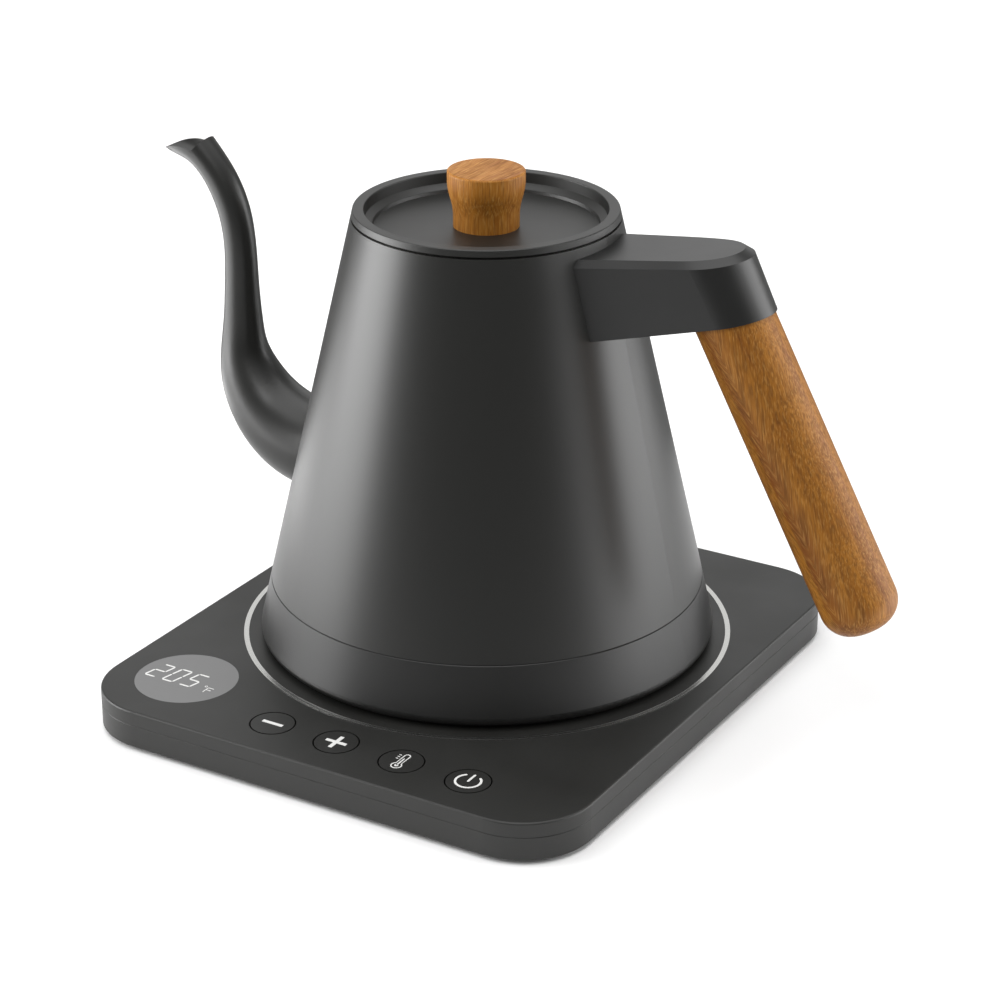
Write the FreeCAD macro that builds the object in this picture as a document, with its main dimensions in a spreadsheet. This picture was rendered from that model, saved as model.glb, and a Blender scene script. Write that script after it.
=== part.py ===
import FreeCAD
import Part
import Sketcher
import math
import os

# An electric gooseneck kettle standing on its control base, in millimetres and degrees, +Z up.
# The table is z = 0. The base's buttons are towards -Y, the kettle's spout points to -X and its
# handle to +X. Kettle and lid are drawn about the kettle's own axis with z = 0 at the skirt's
# underside, and are then placed on the base.

SIZES = {
    # where things stand
    "base_x": -11.23,
    "kettle_offset": 10.9,
    "seat_gap": 0.8,
    # shared fits
    "fit_gap": 0.05,
    "running_gap": 0.08,
    # kettle body
    "foot_radius": 81.6,
    "rim_radius": 46.0,
    "kettle_height": 153.0,
    "body_wall": 0.8,
    "rim_drop": 1.6,
    "rim_ledge": 2.9,
    "collar_depth": 8.0,
    "spout_hole_radius": 13.0,
    # skirt
    "skirt_height": 21.6,
    "skirt_wall": 2.2,
    "skirt_floor": 2.0,
    "skirt_round": 3.0,
    "seam_groove": 0.5,
    "skirt_lip": 3.0,
    "skirt_lip_wall": 1.2,
    # kettle floor and heating
    "plate_height": 26.0,
    "plate_thickness": 1.2,
    "diffuser_radius": 56.0,
    "diffuser_thickness": 4.0,
    "element_radius": 45.0,
    "element_tube": 3.8,
    "element_turn": 320.0,
    "element_pin_radius": 1.8,
    "element_pin_length": 12.0,
    "probe_radius": 2.5,
    "probe_reach": 12.0,
    "probe_nut_radius": 5.0,
    "probe_nut_height": 3.0,
    "probe_tail": 3.0,
    "sensor_circle": 31.0,
    "cutout_radius": 9.0,
    "cutout_height": 7.0,
    "stud_circle": 63.0,
    "stud_radius": 3.5,
    "stud_length": 12.0,
    "boss_radius": 5.0,
    "screw_radius": 1.75,
    "screw_head_radius": 3.5,
    "screw_head_height": 2.2,
    "screw_recess": 3.2,
    "screw_bite": 6.0,
    "drill_room": 1.0,
    # gooseneck spout: lower bend, upright column, upper bend, beak
    "spout_column": 103.0,
    "spout_root_height": 53.6,
    "spout_root_tail": 10.0,
    "spout_bend_low": 36.0,
    "spout_column_length": 33.4,
    "spout_bend_top": 48.0,
    "spout_bend_top_angle": 62.5,
    "spout_root_radius": 16.2,
    "spout_waist_radius": 8.0,
    "spout_neck_radius": 5.8,
    "spout_wall": 0.8,
    "beak_droop": 5.5,
    "beak_narrowing": 1.4,
    "mouth_angle": 47.9,
    "mouth_bow": 18.0,
    "mouth_reach": 14.0,
    # handle; grip_top_z and bracket_low are measured down from the rim
    "arm_height": 22.7,
    "arm_radius": 14.0,
    "arm_taper": 3.5,
    "arm_draft": 2.2,
    "arm_top_rise": 8.2,
    "arm_under_rise": 14.8,
    "arm_edge": 2.3,
    "grip_top_x": 93.8,
    "grip_top_z": 18.9,
    "grip_tilt": 28.4,
    "grip_radius": 13.3,
    "grip_length": 113.2,
    "grip_round": 9.8,
    "grip_stud_radius": 3.0,
    "grip_stud_in_arm": 16.0,
    "grip_stud_in_grip": 45.0,
    "bracket_end": 71.0,
    "bracket_width": 16.0,
    "bracket_low": 21.5,
    "bracket_height": 12.0,
    "arm_screw_first": 59.5,
    "arm_screw_pitch": 7.8,
    "arm_screw_wall": 2.0,
    # lid
    "lid_gap": 0.8,
    "lid_rim_height": 2.2,
    "lid_rim_width": 3.8,
    "lid_edge": 0.35,
    "lid_wall": 1.2,
    "dish_depth": 6.4,
    "dish_step_height": 2.7,
    "dish_step_width": 2.9,
    "dish_step_drop": 1.6,
    "plug_gap": 0.5,
    "plug_depth": 9.9,
    "plug_wall": 1.4,
    "seal_height": 3.0,
    "seal_groove": 0.7,
    "seal_rise": 3.5,
    "liner_thickness": 1.0,
    "liner_spigot": 2.5,
    "knob_radius": 13.3,
    "knob_waist_radius": 11.3,
    "knob_height": 19.7,
    "knob_straight": 3.6,
    "knob_flank": 13.0,
    "knob_edge": 0.8,
    "knob_screw_radius": 2.5,
    "knob_screw_depth": 13.0,
    "knob_head_radius": 4.6,
    "knob_head_height": 2.8,
    "washer_radius": 6.5,
    "washer_thickness": 1.0,
    # 360 degree connector
    "tower_radius": 14.0,
    "tower_height": 10.0,
    "tower_edge": 1.0,
    "collar_radius_gap": 0.6,
    "guard_radius": 17.6,
    "guard_height": 4.0,
    "shoulder_radius": 19.0,
    "flange_radius": 23.0,
    "flange_thickness": 2.2,
    "contact_groove_inner": 5.0,
    "contact_groove_outer": 8.0,
    "contact_groove_depth": 6.0,
    "earth_bore_radius": 2.6,
    "earth_bore_depth": 7.0,
    "contact_gap": 0.7,
    "contact_thickness": 0.8,
    "socket_radius": 22.0,
    "socket_flange_radius": 27.0,
    "socket_flange": 2.0,
    "socket_roof": 3.0,
    "socket_headroom": 1.8,
    "socket_rim_lift": 0.4,
    # base housing
    "base_width": 190.0,
    "base_depth": 216.3,
    "base_corner": 25.3,
    "base_height": 13.8,
    "base_seam": 8.6,
    "cover_wall": 2.2,
    "cover_top": 2.5,
    "cover_edge": 0.8,
    "tray_wall": 2.2,
    "tray_floor": 2.0,
    "tray_edge": 0.5,
    "tray_seam_edge": 0.4,
    "foot_height": 1.5,
    "foot_recess": 0.8,
    "foot_pad_radius": 7.0,
    "foot_inset": 24.0,
    "post_radius": 4.5,
    "post_inset": 9.5,
    "post_spread": 55.0,
    "ring_radius": 87.2,
    "ring_width": 1.8,
    "ring_depth": 1.2,
    "ring_proud": 0.1,
    "gland_radius": 4.2,
    "gland_bore": 3.2,
    "gland_length": 10.0,
    "gland_height": 8.0,
    # display and buttons, from the left and front edges of the base
    "lens_x": 27.5,
    "lens_y": 29.35,
    "lens_radius": 18.0,
    "lens_thickness": 1.5,
    "lens_ledge": 1.6,
    "button_first_x": 71.8,
    "button_pitch": 25.6,
    "button_y": 17.75,
    "button_radius": 7.4,
    "button_gap": 0.55,
    "button_flange": 1.6,
    "button_flange_thickness": 1.2,
    "button_stem_radius": 2.2,
    "button_travel": 0.5,
    # electronics in the base; boards from the left, front and back edges of the base, board_right from
    # the last button, board_back, power_right and power_front from the board's opposite edge
    "board_thickness": 1.6,
    "board_lift": 1.5,
    "board_left": 11.0,
    "board_right": 8.4,
    "board_front": 9.15,
    "board_back": 39.0,
    "board_post_radius": 3.0,
    "switch_size": 6.2,
    "switch_height": 3.0,
    "switch_plunger_radius": 1.7,
    "switch_plunger": 0.6,
    "module_width": 30.0,
    "module_depth": 24.0,
    "power_left": 15.0,
    "power_right": 50.0,
    "power_back": 20.15,
    "power_front": 58.0,
    "relay_length": 20.0,
    "relay_width": 15.0,
    "relay_height": 5.5,
    "capacitor_length": 18.0,
    "capacitor_width": 8.0,
    "capacitor_height": 5.0,
}

ABOUT_Y = FreeCAD.Vector(0, 1, 0)
ABOUT_Z = FreeCAD.Vector(0, 0, 1)
FAR = 200.0

doc = FreeCAD.newDocument("gooseneck_kettle")
nodes = []


# Sizes that stay tied to the sheet

class Size:
    """A number together with the sheet formula that it comes from."""

    def __init__(self, value, formula):
        self.value = value
        self.formula = formula

    def __add__(self, other):
        return joined(self, "+", other, self.value + number(other))

    def __sub__(self, other):
        return joined(self, "-", other, self.value - number(other))

    def __mul__(self, other):
        return joined(self, "*", other, self.value * number(other))

    def __truediv__(self, other):
        return joined(self, "/", other, self.value / number(other))

    def __rsub__(self, other):
        return joined(other, "-", self, number(other) - self.value)

    def __neg__(self):
        return joined(0, "-", self, -self.value)

    __radd__ = __add__
    __rmul__ = __mul__


def number(thing):
    return thing.value if isinstance(thing, Size) else float(thing)


def formula(thing):
    return thing.formula if isinstance(thing, Size) else "(%r)" % float(thing)


def joined(left, sign, right, value):
    return Size(value, "(%s %s %s)" % (formula(left), sign, formula(right)))


def sine(angle):
    return Size(math.sin(math.radians(number(angle))), "sin(%s * 1 deg)" % formula(angle))


def cosine(angle):
    return Size(math.cos(math.radians(number(angle))), "cos(%s * 1 deg)" % formula(angle))


def tangent(angle):
    return sine(angle) / cosine(angle)


class Sheet:
    """The spreadsheet of driving sizes, each read as an attribute."""

    def __init__(self, sizes):
        page = doc.addObject("Spreadsheet::Sheet", "Sizes")
        for row, (name, value) in enumerate(sizes.items(), start=1):
            page.set("A%d" % row, name)
            page.set("B%d" % row, str(value))
            page.setAlias("B%d" % row, name)
            setattr(self, name, Size(value, "Sizes." + name))
        doc.recompute()


s = Sheet(SIZES)


# Drawing and feature helpers

def bind(thing, path, size):
    thing.setExpression(path, formula(size))


def new_body(name, place):
    """An empty sub-part with its own origin at place."""
    body = doc.addObject("PartDesign::Body", name)
    body.Label = name
    for axis, part in zip("xyz", place):
        bind(body, "Placement.Base." + axis, part)
    nodes.append(body)
    return body


def new_sketch(body, plane, at=(0, 0, 0), turn=0, about=ABOUT_Z):
    """A sketch on an origin plane of its body, moved and turned within that plane's own frame."""
    sketch = body.newObject("Sketcher::SketchObject", body.Label + "_sketch")
    support = next(part for part in body.Origin.OriginFeatures if part.Role == plane)
    sketch.AttachmentSupport = [(support, "")]
    sketch.MapMode = "FlatFace"
    start = FreeCAD.Vector(*(number(part) for part in at))
    sketch.AttachmentOffset = FreeCAD.Placement(start, FreeCAD.Rotation(about, number(turn)))
    for axis, part in zip("xyz", at):
        bind(sketch, "AttachmentOffset.Base." + axis, part)
    if number(turn):
        bind(sketch, "AttachmentOffset.Rotation.Angle", turn)
    return sketch


def pin(sketch, curve, point, across, up):
    """Holds one point of a curve at sizes measured from the sketch's origin."""
    for kind, size in (("DistanceX", across), ("DistanceY", up)):
        rule = Sketcher.Constraint(kind, -1, 1, curve, point, number(size))
        bind(sketch, "Constraints[%d]" % sketch.addConstraint(rule), size)


def bow(start, end, radius, side):
    """The arc of under a half circle from start to end, with its centre on that side (1 is left)."""
    half = (end - start) * 0.5
    reach = math.sqrt(radius * radius - half.Length ** 2)
    left = FreeCAD.Vector(-half.y, half.x, 0).normalize()
    centre = start + half + left * (side * reach)
    first, last = (start, end) if side > 0 else (end, start)
    angles = [math.atan2(point.y - centre.y, point.x - centre.x) for point in (first, last)]
    return Part.ArcOfCircle(Part.Circle(centre, ABOUT_Z, radius), angles[0], angles[1])


def outline(sketch, corners, arcs=None):
    """A closed outline through corners (across, up). arcs maps a corner's number to the radius and
    side of the arc that leads on from it; the other runs are straight."""
    arcs = arcs or {}
    points = [FreeCAD.Vector(number(x), number(y), 0) for x, y in corners]
    ends = []
    for i, start in enumerate(points):
        end = points[(i + 1) % len(points)]
        if i in arcs:
            radius, side = arcs[i]
            sketch.addGeometry(bow(start, end, number(radius), side), False)
            ends.append((1, 2) if side > 0 else (2, 1))
        else:
            sketch.addGeometry(Part.LineSegment(start, end), False)
            ends.append((1, 2))
    for i in range(len(points)):
        follower = (i + 1) % len(points)
        sketch.addConstraint(Sketcher.Constraint("Coincident", i, ends[i][1], follower, ends[follower][0]))
    for i, (x, y) in enumerate(corners):
        pin(sketch, i, ends[i][0], x, y)
    for i, (radius, _) in arcs.items():
        rule = Sketcher.Constraint("Radius", i, number(radius))
        bind(sketch, "Constraints[%d]" % sketch.addConstraint(rule), radius)
    return sketch


def circles(sketch, rounds):
    """Full circles, each given by its centre and radius."""
    for curve, (x, y, radius) in enumerate(rounds):
        centre = FreeCAD.Vector(number(x), number(y), 0)
        sketch.addGeometry(Part.Circle(centre, ABOUT_Z, number(radius)), False)
        pin(sketch, curve, 3, x, y)
        rule = Sketcher.Constraint("Radius", curve, number(radius))
        bind(sketch, "Constraints[%d]" % sketch.addConstraint(rule), radius)
    return sketch


def rectangle(sketch, left, right, front, back):
    return outline(sketch, [(left, front), (right, front), (right, back), (left, back)])


def round_rectangle(sketch, half_width, half_depth, radius):
    """A rectangle about the sketch's origin with tangent corner arcs."""
    across, along = half_width - radius, half_depth - radius
    centres = [(across, along), (-across, along), (-across, -along), (across, -along)]
    quarter = math.pi / 2
    for i, (x, y) in enumerate(centres):
        ring = Part.Circle(FreeCAD.Vector(number(x), number(y), 0), ABOUT_Z, number(radius))
        sketch.addGeometry(Part.ArcOfCircle(ring, i * quarter, (i + 1) * quarter), False)
    for i in range(4):
        run = Part.LineSegment(sketch.Geometry[i].EndPoint, sketch.Geometry[(i + 1) % 4].StartPoint)
        sketch.addGeometry(run, False)
    for i in range(4):
        sketch.addConstraint(Sketcher.Constraint("Tangent", i, 2, 4 + i, 1))
        sketch.addConstraint(Sketcher.Constraint("Tangent", 4 + i, 2, (i + 1) % 4, 1))
    for i, (x, y) in enumerate(centres):
        pin(sketch, i, 3, x, y)
        rule = Sketcher.Constraint("Radius", i, number(radius))
        bind(sketch, "Constraints[%d]" % sketch.addConstraint(rule), radius)
    return sketch


def pad(body, sketch, length, down=False, draft=0):
    feature = body.newObject("PartDesign::Pad", body.Label + "_pad")
    feature.Profile = sketch
    feature.Reversed = down
    bind(feature, "Length", length)
    if number(draft):
        bind(feature, "TaperAngle", draft)
    return feature


def cut_checked(body, feature, before):
    """A cut that points away from the solid takes nothing, so the volumes are compared."""
    doc.recompute()
    if feature.Shape.Volume > before - 1e-6:
        raise ValueError("%s cuts nothing from %s" % (feature.Name, body.Label))
    return feature


def pocket(body, sketch, depth=None, up=False, both=False):
    """Cuts down from the sketch, or up, to a depth or right through."""
    doc.recompute()
    before = body.Shape.Volume
    feature = body.newObject("PartDesign::Pocket", body.Label + "_pocket")
    feature.Profile = sketch
    feature.Reversed = up
    if both:
        feature.SideType = "Symmetric"
    if depth is None:
        feature.Type = "ThroughAll"
    else:
        bind(feature, "Length", depth)
    return cut_checked(body, feature, before)


def turn(body, sketch, angle=360):
    feature = body.newObject("PartDesign::Revolution", body.Label + "_turn")
    feature.Profile = sketch
    feature.ReferenceAxis = (sketch, ["V_Axis"])
    bind(feature, "Angle", angle)
    return feature


def groove(body, sketch):
    doc.recompute()
    before = body.Shape.Volume
    feature = body.newObject("PartDesign::Groove", body.Label + "_groove")
    feature.Profile = sketch
    feature.ReferenceAxis = (sketch, ["V_Axis"])
    feature.Angle = 360
    return cut_checked(body, feature, before)


def turned(name, place, corners, arcs=None):
    """A sub-part turned about Z from an outline of (radius, height) corners."""
    body = new_body(name, place)
    turn(body, outline(new_sketch(body, "XZ_Plane"), corners, arcs))
    return body


def dressed(body, kind, size, chosen):
    """A Fillet or Chamfer on the edges of the body's tip that chosen picks."""
    doc.recompute()
    tip = body.Tip
    picked = ["Edge%d" % (i + 1) for i, edge in enumerate(tip.Shape.Edges) if chosen(edge)]
    if not picked:
        raise ValueError("no edge of %s to dress" % body.Label)
    feature = body.newObject("PartDesign::" + kind, body.Label + "_" + kind.lower())
    feature.Base = (tip, picked)
    bind(feature, "Radius" if kind == "Fillet" else "Size", size)
    return feature


def near(value, size, slack=0.02):
    return abs(value - number(size)) < slack


def level_edge(height):
    """Picks edges that lie at one height."""
    def chosen(edge):
        return near(edge.BoundBox.ZMin, height) and near(edge.BoundBox.ZMax, height)
    return chosen


def ring_edge(radius, height):
    """Picks the level circle of one radius about the Z axis."""
    flat = level_edge(height)
    def chosen(edge):
        return flat(edge) and near(edge.BoundBox.XMax, radius) and near(edge.BoundBox.XMin, -radius)
    return chosen


def mirrored_places(across, along):
    return [(x, y) for x in (across, -across) for y in (along, -along)]


def on_circle(radius, angles):
    return [(radius * cosine(angle), radius * sine(angle)) for angle in angles]


# Levels and places that several sub-parts share

table = (s.base_x, 0, 0)
base_under = s.foot_height
base_seam = s.foot_height + s.base_seam
base_top = s.foot_height + s.base_height
cover_under = base_top - s.cover_top
tray_top = base_under + s.tray_floor
board_low = tray_top + s.board_lift
board_top = board_low + s.board_thickness

connector_place = (s.base_x, s.kettle_offset, 0)
kettle_place = (s.base_x, s.kettle_offset, base_top + s.seat_gap)


def cone(height):
    """The kettle's outer radius at a height above the skirt's underside."""
    return s.foot_radius - (s.foot_radius - s.rim_radius) * height / s.kettle_height


def inner(height):
    return cone(height) - s.body_wall


def trim_to_cone(body, low, high):
    """Ends a piece on the outside of the kettle body."""
    region = [(0, low), (cone(low), low), (cone(high), high), (0, high)]
    groove(body, outline(new_sketch(body, "XZ_Plane"), region))


lip_top = s.kettle_height - s.rim_drop
collar_radius = s.rim_radius - s.rim_ledge
plate_top = s.plate_height + s.plate_thickness
diffuser_low = s.plate_height - s.diffuser_thickness
stud_low = s.plate_height - s.stud_length
skirt_screw_places = on_circle(s.stud_circle, (90, 210, 330))
probe_place = (-s.sensor_circle, 0)


# Kettle body: conical shell with a rolled-in collar under the lid

def make_kettle_body():
    lip_low = lip_top - s.body_wall
    collar_low = lip_top - s.collar_depth
    body = turned("kettle_body", kettle_place, [
        (cone(s.skirt_height), s.skirt_height),
        (cone(s.kettle_height), s.kettle_height),
        (inner(s.kettle_height), s.kettle_height),
        (inner(lip_top), lip_top),
        (collar_radius, lip_top),
        (collar_radius, collar_low),
        (collar_radius + s.body_wall, collar_low),
        (collar_radius + s.body_wall, lip_low),
        (inner(lip_low), lip_low),
        (inner(s.skirt_height), s.skirt_height),
    ])
    hole = circles(new_sketch(body, "YZ_Plane"), [(0, s.spout_root_height, s.spout_hole_radius)])
    pocket(body, hole)


# Skirt: closes the heating space under the kettle and carries the connector socket

def make_kettle_skirt():
    lip_high = s.skirt_height + s.skirt_lip
    lip_face = s.body_wall + s.fit_gap
    below_seam = s.skirt_height - s.seam_groove
    hole = s.socket_radius + s.fit_gap
    body = turned("kettle_skirt", kettle_place, [
        (hole, 0),
        (cone(0), 0),
        (cone(below_seam), below_seam),
        (cone(s.skirt_height) - s.seam_groove, s.skirt_height),
        (cone(s.skirt_height) - lip_face, s.skirt_height),
        (cone(lip_high) - lip_face, lip_high),
        (cone(lip_high) - lip_face - s.skirt_lip_wall, lip_high),
        (cone(s.skirt_floor) - s.skirt_wall, s.skirt_floor),
        (hole, s.skirt_floor),
    ])
    dressed(body, "Fillet", s.skirt_round, ring_edge(cone(0), 0))
    bosses = [(x, y, s.boss_radius) for x, y in skirt_screw_places]
    pad(body, circles(new_sketch(body, "XY_Plane", (0, 0, s.skirt_floor / 2)), bosses),
        stud_low - s.skirt_floor / 2)
    heads = [(x, y, s.screw_head_radius + s.fit_gap) for x, y in skirt_screw_places]
    pocket(body, circles(new_sketch(body, "XY_Plane"), heads), s.screw_recess, up=True)
    shanks = [(x, y, s.screw_radius + s.fit_gap) for x, y in skirt_screw_places]
    pocket(body, circles(new_sketch(body, "XY_Plane"), shanks), stud_low, up=True)


def make_skirt_screws():
    body = new_body("skirt_screws", kettle_place)
    head_low = s.screw_recess - s.screw_head_height
    heads = [(x, y, s.screw_head_radius) for x, y in skirt_screw_places]
    pad(body, circles(new_sketch(body, "XY_Plane", (0, 0, head_low)), heads), s.screw_head_height)
    shanks = [(x, y, s.screw_radius) for x, y in skirt_screw_places]
    pad(body, circles(new_sketch(body, "XY_Plane", (0, 0, head_low)), shanks),
        stud_low + s.screw_bite - head_low)


def make_plate_studs():
    body = new_body("plate_studs", kettle_place)
    studs = [(x, y, s.stud_radius) for x, y in skirt_screw_places]
    pad(body, circles(new_sketch(body, "XY_Plane", (0, 0, stud_low)), studs), s.stud_length)
    holes = [(x, y, s.screw_radius + s.fit_gap) for x, y in skirt_screw_places]
    pocket(body, circles(new_sketch(body, "XY_Plane", (0, 0, stud_low)), holes),
           s.screw_bite + s.drill_room, up=True)


# Heating: floor plate, heat spreader, tubular element, probe and cut-out

def drill_for_probe(body, top):
    hole = [(probe_place[0], probe_place[1], s.probe_radius + s.fit_gap)]
    pocket(body, circles(new_sketch(body, "XY_Plane", (0, 0, top)), hole))


def make_heater_plate():
    body = turned("heater_plate", kettle_place, [
        (0, s.plate_height),
        (inner(s.plate_height), s.plate_height),
        (inner(plate_top), plate_top),
        (0, plate_top),
    ])
    drill_for_probe(body, plate_top)


def make_heat_diffuser():
    body = new_body("heat_diffuser", kettle_place)
    disc = circles(new_sketch(body, "XY_Plane", (0, 0, diffuser_low)), [(0, 0, s.diffuser_radius)])
    pad(body, disc, s.diffuser_thickness)
    channel = [(s.element_radius, diffuser_low, s.element_tube)]
    groove(body, circles(new_sketch(body, "XZ_Plane"), channel))
    drill_for_probe(body, s.plate_height)


def make_heating_element():
    body = new_body("heating_element", kettle_place)
    tube = [(s.element_radius, diffuser_low, s.element_tube)]
    turn(body, circles(new_sketch(body, "XZ_Plane"), tube), s.element_turn)
    ends = on_circle(s.element_radius, (0, s.element_turn))
    pins = [(x, y, s.element_pin_radius) for x, y in ends]
    pad(body, circles(new_sketch(body, "XY_Plane", (0, 0, diffuser_low)), pins),
        s.element_pin_length, down=True)


def make_temperature_probe():
    nut_low = diffuser_low - s.probe_nut_height
    tail_low = nut_low - s.probe_tail
    x, y = probe_place
    body = new_body("temperature_probe", kettle_place)
    tube = circles(new_sketch(body, "XY_Plane", (0, 0, tail_low)), [(x, y, s.probe_radius)])
    tip = plate_top + s.probe_reach
    pad(body, tube, tip - tail_low)
    dressed(body, "Fillet", s.probe_radius * 0.9, level_edge(tip))
    nut = circles(new_sketch(body, "XY_Plane", (0, 0, nut_low)), [(x, y, s.probe_nut_radius)])
    pad(body, nut, s.probe_nut_height)


def make_thermal_cutout():
    low = diffuser_low - s.cutout_height
    body = new_body("thermal_cutout", kettle_place)
    case = [(0, -s.sensor_circle, s.cutout_radius)]
    pad(body, circles(new_sketch(body, "XY_Plane", (0, 0, low)), case), s.cutout_height)
    dressed(body, "Chamfer", s.cutout_height / 5, level_edge(low))


# Gooseneck spout: round sections from inside the wall round a lower bend, up a slimming column and
# round an upper bend that flares into the beak. Each station is x, z, lean and outer radius.

LOW_STATIONS = (90, 72, 54, 36, 18)
COLUMN_STATIONS = ((0.0, 0.0), (0.25, 0.45), (0.5, 0.72), (1.0, 1.0))
TOP_STATIONS = ((0.25, 0.0, 0.0), (0.5, 0.0, 0.0), (0.75, 0.08, -0.3), (1.0, 1.0, 1.0))

low_centre = s.spout_root_height + s.spout_bend_low
top_centre = low_centre + s.spout_column_length


def low_station(angle):
    swell = s.spout_waist_radius + (s.spout_root_radius - s.spout_waist_radius) * sine(angle)
    return (s.spout_bend_low - s.spout_bend_low * cosine(angle) - s.spout_column,
            low_centre - s.spout_bend_low * sine(angle), -angle, swell)


def column_station(share, slimmed):
    slim = s.spout_waist_radius - (s.spout_waist_radius - s.spout_neck_radius) * slimmed
    return (-s.spout_column, low_centre + s.spout_column_length * share, 0, slim)


def top_station(share, drooped, narrowed):
    """The last sections droop towards the pouring side, and swell a little before they narrow."""
    angle = s.spout_bend_top_angle * share
    swing = s.spout_bend_top - s.beak_droop * drooped
    return (swing * cosine(angle) - s.spout_bend_top - s.spout_column,
            top_centre + swing * sine(angle), -angle, s.spout_neck_radius - s.beak_narrowing * narrowed)


def spout_stations():
    tail_x = s.spout_bend_low + s.spout_root_tail - s.spout_column
    stations = [(tail_x, s.spout_root_height, -90, s.spout_root_radius)]
    stations += [low_station(angle) for angle in LOW_STATIONS]
    stations += [column_station(share, slimmed) for share, slimmed in COLUMN_STATIONS]
    stations += [top_station(*shares) for shares in TOP_STATIONS]
    return stations


def loft_stations(body, kind, inset):
    sections = []
    for x, z, lean, radius in spout_stations():
        sketch = new_sketch(body, "XY_Plane", (x, 0, z), lean, ABOUT_Y)
        sections.append(circles(sketch, [(0, 0, radius - inset)]))
    doc.recompute()
    feature = body.newObject("PartDesign::" + kind, body.Label + "_loft")
    feature.Profile = sections[0]
    feature.Sections = sections[1:]
    return feature


def make_gooseneck_spout():
    body = new_body("gooseneck_spout", kettle_place)
    loft_stations(body, "AdditiveLoft", 0)
    doc.recompute()
    solid = body.Shape.Volume
    cut_checked(body, loft_stations(body, "SubtractiveLoft", s.spout_wall), solid)
    trim_to_cone(body, s.skirt_height, lip_top)
    x, z, _, radius = spout_stations()[-1]
    tip_x = x - radius * cosine(s.spout_bend_top_angle)
    tip_z = z - radius * sine(s.spout_bend_top_angle)
    across_x, across_z = cosine(s.mouth_angle), sine(s.mouth_angle)
    notch_x = s.spout_bend_top * across_x - s.spout_bend_top - s.spout_column
    notch_z = top_centre + s.spout_bend_top * across_z
    back_x = notch_x + s.mouth_reach * across_x
    back_z = notch_z + s.mouth_reach * across_z
    front_x = tip_x - s.mouth_reach
    mouth = outline(new_sketch(body, "XZ_Plane"), [
        (front_x, tip_z),
        (tip_x, tip_z),
        (notch_x, notch_z),
        (back_x, back_z),
        (back_x, FAR),
        (front_x, FAR),
    ], {1: (s.mouth_bow, -1)})
    pocket(body, mouth, both=True)


# Handle: moulded arm on a welded bracket, and a wooden grip on a stud

grip_top_z = s.kettle_height - s.grip_top_z
bracket_low = s.kettle_height - s.bracket_low
grip_frame = (s.grip_top_x, grip_top_z, 0)
grip_level = (s.grip_top_x, 0, grip_top_z)
arm_screw_places = [(s.arm_screw_first + s.arm_screw_pitch * i, 0) for i in range(2)]
arm_screw_seat = bracket_low - s.arm_screw_wall


def arm_under(x):
    """The arm's underside in side view; it rises outwards through the top of the grip's axis."""
    return grip_top_z + tangent(s.arm_under_rise) * (x - s.grip_top_x)


def arm_top(x):
    return grip_top_z + s.arm_height + tangent(s.arm_top_rise) * (x - s.grip_top_x)


def side_region(line, level):
    """Everything in side view between a sloping line and a far level above or below it."""
    return [(-FAR, line(-FAR)), (FAR, line(FAR)), (FAR, level), (-FAR, level)]


def make_handle_arm():
    body = new_body("handle_arm", kettle_place)
    reach = s.grip_top_x
    tangent_x = s.arm_radius * sine(s.arm_taper)
    tangent_y = s.arm_radius * cosine(s.arm_taper)
    root_y = tangent_y + (reach + tangent_x) * tangent(s.arm_taper)
    plan = [(tangent_x, -tangent_y), (tangent_x, tangent_y), (-reach, root_y), (-reach, -root_y)]
    below = s.arm_radius / 2
    start = (s.grip_top_x + below * sine(s.grip_tilt), 0, grip_top_z - below * cosine(s.grip_tilt))
    across_grip = new_sketch(body, "XY_Plane", start, -s.grip_tilt, ABOUT_Y)
    pad(body, outline(across_grip, plan, {0: (s.arm_radius, 1)}), s.grip_top_x, draft=s.arm_draft)
    pocket(body, outline(new_sketch(body, "XZ_Plane"), side_region(arm_top, FAR * 2)), both=True)
    pocket(body, outline(new_sketch(body, "XZ_Plane"), side_region(arm_under, -FAR)), both=True)
    trim_to_cone(body, s.skirt_height, s.kettle_height)

    def top_rim(edge):
        on_top = all(near(point.Z, arm_top(point.X)) for point in edge.Vertexes)
        return on_top and edge.BoundBox.XMax > number(s.grip_top_x) / 2 + number(s.arm_radius)

    dressed(body, "Chamfer", s.arm_edge, top_rim)
    bracket_room = rectangle(
        new_sketch(body, "XY_Plane", (0, 0, bracket_low + s.bracket_height + s.fit_gap)),
        0, s.bracket_end + s.fit_gap, -s.bracket_width / 2 - s.fit_gap, s.bracket_width / 2 + s.fit_gap)
    pocket(body, bracket_room, s.bracket_height + s.fit_gap * 2)
    shanks = [(x, y, s.screw_radius + s.fit_gap) for x, y in arm_screw_places]
    pocket(body, circles(new_sketch(body, "XY_Plane", (0, 0, bracket_low)), shanks))
    heads = [(x, y, s.screw_head_radius + s.fit_gap) for x, y in arm_screw_places]
    pocket(body, circles(new_sketch(body, "XY_Plane", (0, 0, arm_screw_seat)), heads))
    stud = circles(new_sketch(body, "XY_Plane", grip_level, -s.grip_tilt, ABOUT_Y),
                   [(0, 0, s.grip_stud_radius)])
    pocket(body, stud, s.grip_stud_in_arm * 2, both=True)


def make_handle_bracket():
    body = new_body("handle_bracket", kettle_place)
    bar = rectangle(new_sketch(body, "XY_Plane", (0, 0, bracket_low)),
                    0, s.bracket_end, -s.bracket_width / 2, s.bracket_width / 2)
    pad(body, bar, s.bracket_height)
    trim_to_cone(body, s.skirt_height, lip_top)
    holes = [(x, y, s.screw_radius + s.fit_gap) for x, y in arm_screw_places]
    pocket(body, circles(new_sketch(body, "XY_Plane", (0, 0, bracket_low)), holes),
           s.screw_bite + s.drill_room, up=True)


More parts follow.
